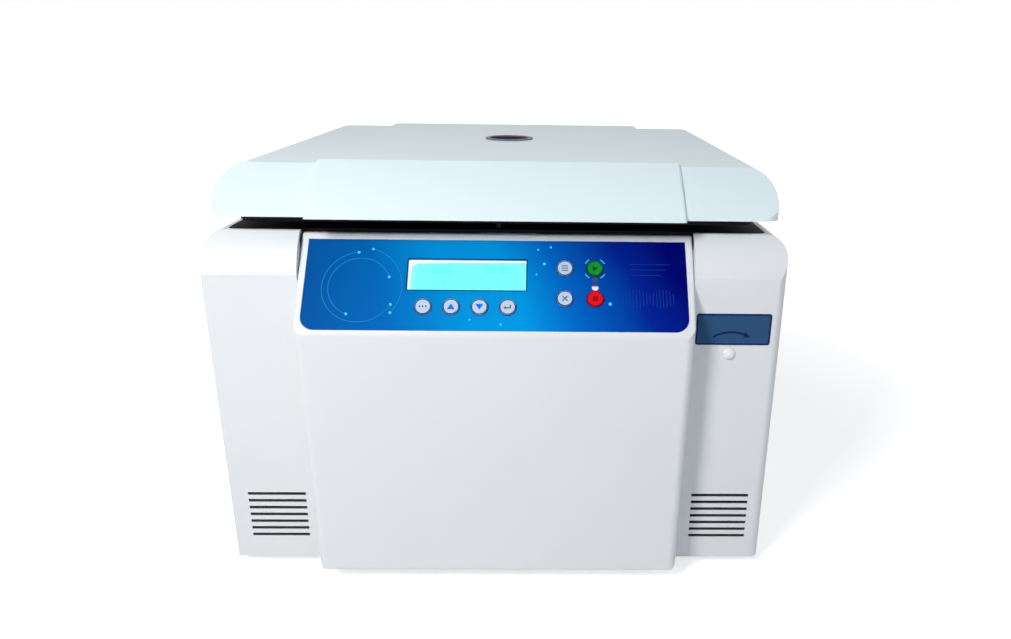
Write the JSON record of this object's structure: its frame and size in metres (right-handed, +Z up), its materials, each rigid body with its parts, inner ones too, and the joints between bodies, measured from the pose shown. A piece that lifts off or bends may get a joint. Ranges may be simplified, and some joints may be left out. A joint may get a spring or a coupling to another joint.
{
  "type": "benchtop centrifuge",
  "caption": "Benchtop swing-out centrifuge with a hinged lid, sloping blue control panel with display and keys, and a steel rotor chamber.",
  "frame": {"origin": "middle of the machine in plan, on the bench under its feet", "axes": "+X to the machine's right as seen from the front, +Y to its back, +Z up; the control panel faces -Y"},
  "size_m": [0.457, 0.47, 0.3472],
  "materials": {
    "white_shell": "satin white moulding",
    "black_plastic": "fine matt grain",
    "blue_overlay": "printed polyester film, semi-gloss, blue fading to light blue and navy",
    "display": "lit cyan display under flat glass",
    "lamps": "clear lamp lenses",
    "key_plastic": "satin moulded caps with printed symbols",
    "circuit_board": "green solder mask",
    "stainless": "spun stainless, fine turning marks",
    "black_rubber": "matt",
    "zinc_steel": "zinc-plated sheet",
    "grey_steel": "powder-coated sheet, fine texture",
    "black_steel": "black powder coat",
    "motor_paint": "dark enamel",
    "rotor_metal": "anodised casting with machined faces",
    "bucket_metal": "anodised",
    "bright_steel": "ground steel",
    "smoked_glass": "smoked polycarbonate",
    "label_blue": "printed film",
    "white_plug": "moulded plug",
    "rocker_plastic": "moulded rocker"
  },
  "bodies": {
    "machine": {"base_plate": "zinc_steel", "rubber_feet": "black_rubber", "main_housing": "white_shell", "rear_panel": "grey_steel", "front_fascia": "white_shell", "top_deck": "black_plastic", "panel_overlay": "blue_overlay", "display_glass": "display", "status_lamps": "lamps", "control_board": "circuit_board", "chamber_bowl": "stainless", "chamber_seal": "black_rubber", "guard_ring": "black_steel", "motor_plate": "zinc_steel", "motor_mounts": "black_rubber", "motor_body": "motor_paint", "power_board": "circuit_board", "latch_frame": "zinc_steel", "latch_solenoid": "zinc_steel", "hinge_brackets": "black_steel", "power_inlet": "black_plastic", "release_label": "label_blue", "release_bush": "black_plastic"},
    "rotor": {"drive_shaft": "bright_steel", "rotor_cross": "rotor_metal", "rotor_nut": "bright_steel"},
    "lid": {"lid_cover": "white_shell", "lid_liner": "black_plastic", "window_ring": "white_shell", "window_lens": "smoked_glass", "lid_striker": "bright_steel", "hinge_leaves": "black_steel"},
    "release_plug": {"release_plug": "white_plug"},
    "release_spindle": {"release_spindle": "bright_steel"},
    "release_rod": {"release_rod": "zinc_steel"},
    "latch_pawl": {"latch_pawl": "bright_steel"},
    "solenoid_plunger": {"solenoid_plunger": "bright_steel"},
    "power_rocker": {"power_rocker": "rocker_plastic"},
    "bucket_right": {"bucket_right": "bucket_metal"},
    "bucket_back": {"bucket_back": "bucket_metal"},
    "bucket_left": {"bucket_left": "bucket_metal"},
    "bucket_front": {"bucket_front": "bucket_metal"},
    "key_set": {"key_set": "key_plastic"},
    "key_up": {"key_up": "key_plastic"},
    "key_down": {"key_down": "key_plastic"},
    "key_enter": {"key_enter": "key_plastic"},
    "key_menu": {"key_menu": "key_plastic"},
    "key_exit": {"key_exit": "key_plastic"},
    "key_start": {"key_start": "key_plastic"},
    "key_stop": {"key_stop": "key_plastic"}
  },
  "joints": [
    {"name": "lid_hinge", "type": "hinge", "parent": "machine", "child": "lid", "pos_m": [0, 0.219, 0.3015], "axis": [-1, 0, 0], "range_deg": [0, 68]},
    {"name": "rotor_spin", "type": "hinge", "parent": "machine", "child": "rotor", "pos_m": [0, 0.02, 0.212], "axis": [0, 0, 1], "continuous": true},
    {"name": "bucket_right_swing", "type": "hinge", "parent": "rotor", "child": "bucket_right", "pos_m": [0.07997, 0.02, 0.212], "axis": [0, -1, 0], "range_deg": [0, 90]},
    {"name": "bucket_back_swing", "type": "hinge", "parent": "rotor", "child": "bucket_back", "pos_m": [0, 0.09997, 0.212], "axis": [1, 0, 0], "range_deg": [0, 90]},
    {"name": "bucket_left_swing", "type": "hinge", "parent": "rotor", "child": "bucket_left", "pos_m": [-0.07997, 0.02, 0.212], "axis": [0, 1, 0], "range_deg": [0, 90]},
    {"name": "bucket_front_swing", "type": "hinge", "parent": "rotor", "child": "bucket_front", "pos_m": [0, -0.05997, 0.212], "axis": [-1, 0, 0], "range_deg": [0, 90]},
    {"name": "key_set_press", "type": "slide", "parent": "machine", "child": "key_set", "axis": [0, 0.7845, -0.6201], "range_m": [0, 0.0008], "stiffness_N_per_m": 800},
    {"name": "key_up_press", "type": "slide", "parent": "machine", "child": "key_up", "axis": [0, 0.7845, -0.6201], "range_m": [0, 0.0008], "stiffness_N_per_m": 800},
    {"name": "key_down_press", "type": "slide", "parent": "machine", "child": "key_down", "axis": [0, 0.7845, -0.6201], "range_m": [0, 0.0008], "stiffness_N_per_m": 800},
    {"name": "key_enter_press", "type": "slide", "parent": "machine", "child": "key_enter", "axis": [0, 0.7845, -0.6201], "range_m": [0, 0.0008], "stiffness_N_per_m": 800},
    {"name": "key_menu_press", "type": "slide", "parent": "machine", "child": "key_menu", "axis": [0, 0.7845, -0.6201], "range_m": [0, 0.0008], "stiffness_N_per_m": 800},
    {"name": "key_exit_press", "type": "slide", "parent": "machine", "child": "key_exit", "axis": [0, 0.7845, -0.6201], "range_m": [0, 0.0008], "stiffness_N_per_m": 800},
    {"name": "key_start_press", "type": "slide", "parent": "machine", "child": "key_start", "axis": [0, 0.7845, -0.6201], "range_m": [0, 0.0008], "stiffness_N_per_m": 800},
    {"name": "key_stop_press", "type": "slide", "parent": "machine", "child": "key_stop", "axis": [0, 0.7845, -0.6201], "range_m": [0, 0.0008], "stiffness_N_per_m": 800},
    {"name": "plug_pull", "type": "slide", "parent": "machine", "child": "release_plug", "axis": [0, -1, 0], "range_m": [0, 0.025]},
    {"name": "release_turn", "type": "hinge", "parent": "machine", "child": "release_spindle", "pos_m": [0.1863, -0.19, 0.201], "axis": [0, -1, 0], "range_deg": [0, 22]},
    {"name": "rod_pin_turn", "type": "hinge", "parent": "release_spindle", "child": "release_rod", "pos_m": [0.18106, -0.17925, 0.18802], "axis": [0, -1, 0], "range_deg": [-22, 0]},
    {"name": "pawl_turn", "type": "hinge", "parent": "machine", "child": "latch_pawl", "pos_m": [0.01, -0.169, 0.2505], "axis": [0, -1, 0], "range_deg": [0, 22]},
    {"name": "plunger_slide", "type": "slide", "parent": "machine", "child": "solenoid_plunger", "axis": [1, 0, 0], "range_m": [0, 0.0053]},
    {"name": "rocker_tip", "type": "hinge", "parent": "machine", "child": "power_rocker", "pos_m": [-0.15567, 0.227, 0.058], "axis": [-1, 0, 0], "range_deg": [0, 18]}
  ],
  "couplings": [
    {"joint": "rod_pin_turn", "follows": "release_turn", "ratio": -1},
    {"joint": "pawl_turn", "follows": "release_turn", "ratio": 1},
    {"joint": "plunger_slide", "follows": "release_turn", "m_per_rad": 0.01366}
  ]
}
